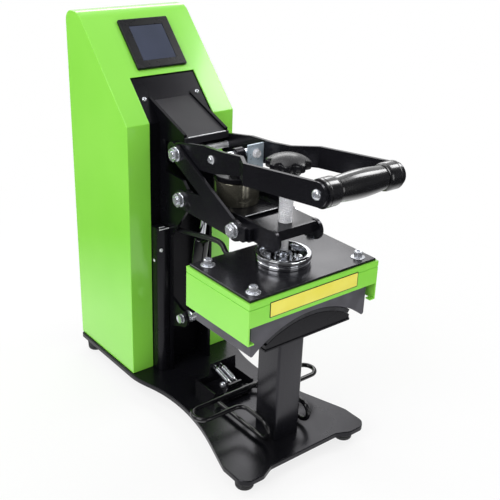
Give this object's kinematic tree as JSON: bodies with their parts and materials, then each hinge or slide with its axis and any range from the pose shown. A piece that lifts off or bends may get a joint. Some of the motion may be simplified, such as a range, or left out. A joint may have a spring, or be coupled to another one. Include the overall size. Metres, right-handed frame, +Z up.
{
  "type": "cap heat press",
  "caption": "Clamshell cap heat press with curved heated platen, saddle on a post, toggle handle with electromagnet catch, gas spring and sloping touch screen case.",
  "frame": {"origin": "middle of the overall box, on the surface that the rubber feet stand on", "axes": "+Z up; -Y towards the operator, where the handle is; +X to the operator's right"},
  "size_m": [0.195, 0.4575, 0.482],
  "materials": {
    "lime_coat": "gloss lime powder coat",
    "black_coat": "gloss black powder coat",
    "zinc": "bright zinc plate",
    "chrome": "polished chrome",
    "steel": "ground steel",
    "magnet_nickel": "nickel plated steel",
    "aluminium_block": "machined aluminium",
    "black_plastic": "gloss black plastic",
    "grip_plastic": "satin black plastic",
    "rubber": "matt black rubber",
    "silicone": "black silicone foam",
    "label": "yellow film",
    "screen_glass": "dark display glass",
    "sleeve": "black fibreglass sleeve",
    "insulation": "ceramic fibre board"
  },
  "bodies": {
    "frame": {"base_plate": "black_coat", "base_feet": "rubber", "case_shell": "lime_coat", "back_panel": "black_coat", "power_inlet": "black_plastic", "switch_housing": "black_plastic", "screen_bezel": "black_plastic", "screen_glass": "screen_glass", "channel_panel": "black_coat", "panel_screws": "zinc", "frame_plate_left": "black_coat", "frame_plate_right": "black_coat", "frame_cover": "black_coat", "side_box": "black_coat", "arm_pivot_bolts": "zinc", "frame_pins": "zinc", "saddle_post": "black_coat", "base_bolts": "zinc", "saddle": "black_coat", "saddle_pad": "silicone", "hold_down_bracket": "black_coat", "panel_gland": "grip_plastic", "heater_lead": "sleeve", "hold_down_springs": "zinc"},
    "power_rocker": {"switch_rocker": "black_plastic"},
    "gas_cylinder": {"gas_spring_body": "black_coat"},
    "gas_piston": {"gas_spring_rod": "chrome"},
    "toggle": {"toggle_link": "black_coat"},
    "press_arm": {"arm_plate_left": "black_coat", "arm_plate_right": "black_coat", "arm_cross_pin": "zinc", "arm_tie_blocks": "black_coat", "head_channel": "black_coat", "arm_bolts": "zinc", "magnet_carrier": "black_coat", "magnet_plate": "steel", "magnet_body": "magnet_nickel", "magnet_screws": "zinc"},
    "handle": {"handle_plate_left": "black_coat", "handle_plate_right": "black_coat", "crank_pin": "zinc", "armature": "black_coat", "armature_pin": "zinc", "armature_bracket": "zinc", "bracket_bolt": "zinc", "handle_grip": "grip_plastic", "grip_collars": "black_plastic", "grip_rod": "zinc"},
    "platen": {"platen_top_plate": "black_coat", "platen_cover": "lime_coat", "platen_label": "label", "heat_block": "aluminium_block", "insulation": "insulation", "platen_screws": "zinc", "swivel_flange": "chrome", "platen_gland": "grip_plastic"},
    "spindle": {"pressure_spindle": "steel", "star_knob": "black_plastic"},
    "bail": {"hold_down_bail": "chrome", "hold_down_lug": "zinc"}
  },
  "joints": [
    {"name": "arm_hinge", "type": "hinge", "parent": "frame", "child": "press_arm", "pos_m": [0, 0.031, 0.285], "axis": [-1, 0, 0], "range_deg": [0, 20], "deforming": ["heater_lead"]},
    {"name": "handle_hinge", "type": "hinge", "parent": "press_arm", "child": "handle", "pos_m": [0, 0.04, 0.339], "axis": [-1, 0, 0], "range_deg": [0, 37.5]},
    {"name": "toggle_hinge", "type": "hinge", "parent": "frame", "child": "toggle", "pos_m": [0, 0.083, 0.342], "axis": [1, 0, 0], "range_deg": [0, 50.99]},
    {"name": "gas_hinge", "type": "hinge", "parent": "frame", "child": "gas_cylinder", "pos_m": [-0.016, 0.042, 0.115], "axis": [-1, 0, 0], "range_deg": [0, 0.205]},
    {"name": "gas_slide", "type": "slide", "parent": "gas_cylinder", "child": "gas_piston", "axis": [0, -0.1634, 0.9866], "range_m": [0, 0.00588]},
    {"name": "platen_slide", "type": "slide", "parent": "press_arm", "child": "platen", "axis": [0, 0, 1], "range_m": [0, 0.006], "deforming": ["heater_lead"]},
    {"name": "knob_turn", "type": "hinge", "parent": "platen", "child": "spindle", "pos_m": [0, -0.111, 0.3], "axis": [0, 0, 1], "range_deg": [0, 1080.5]},
    {"name": "bail_hinge", "type": "hinge", "parent": "frame", "child": "bail", "pos_m": [0, -0.036, 0.031], "axis": [-1, 0, 0], "range_deg": [0, 50], "deforming": ["hold_down_springs"]},
    {"name": "power_rocker_hinge", "type": "hinge", "parent": "frame", "child": "power_rocker", "pos_m": [0.002, 0.225, 0.066], "axis": [0, 0, 1], "range_deg": [-16, 0]}
  ],
  "couplings": [
    {"joint": "handle_hinge", "follows": "arm_hinge", "ratio": 1.8744},
    {"joint": "toggle_hinge", "follows": "arm_hinge", "ratio": 2.5492},
    {"joint": "gas_hinge", "follows": "arm_hinge", "ratio": 0.009768},
    {"joint": "gas_slide", "follows": "arm_hinge", "m_per_rad": 0.016809},
    {"joint": "knob_turn", "follows": "platen_slide", "rad_per_m": 3141.6}
  ]
}
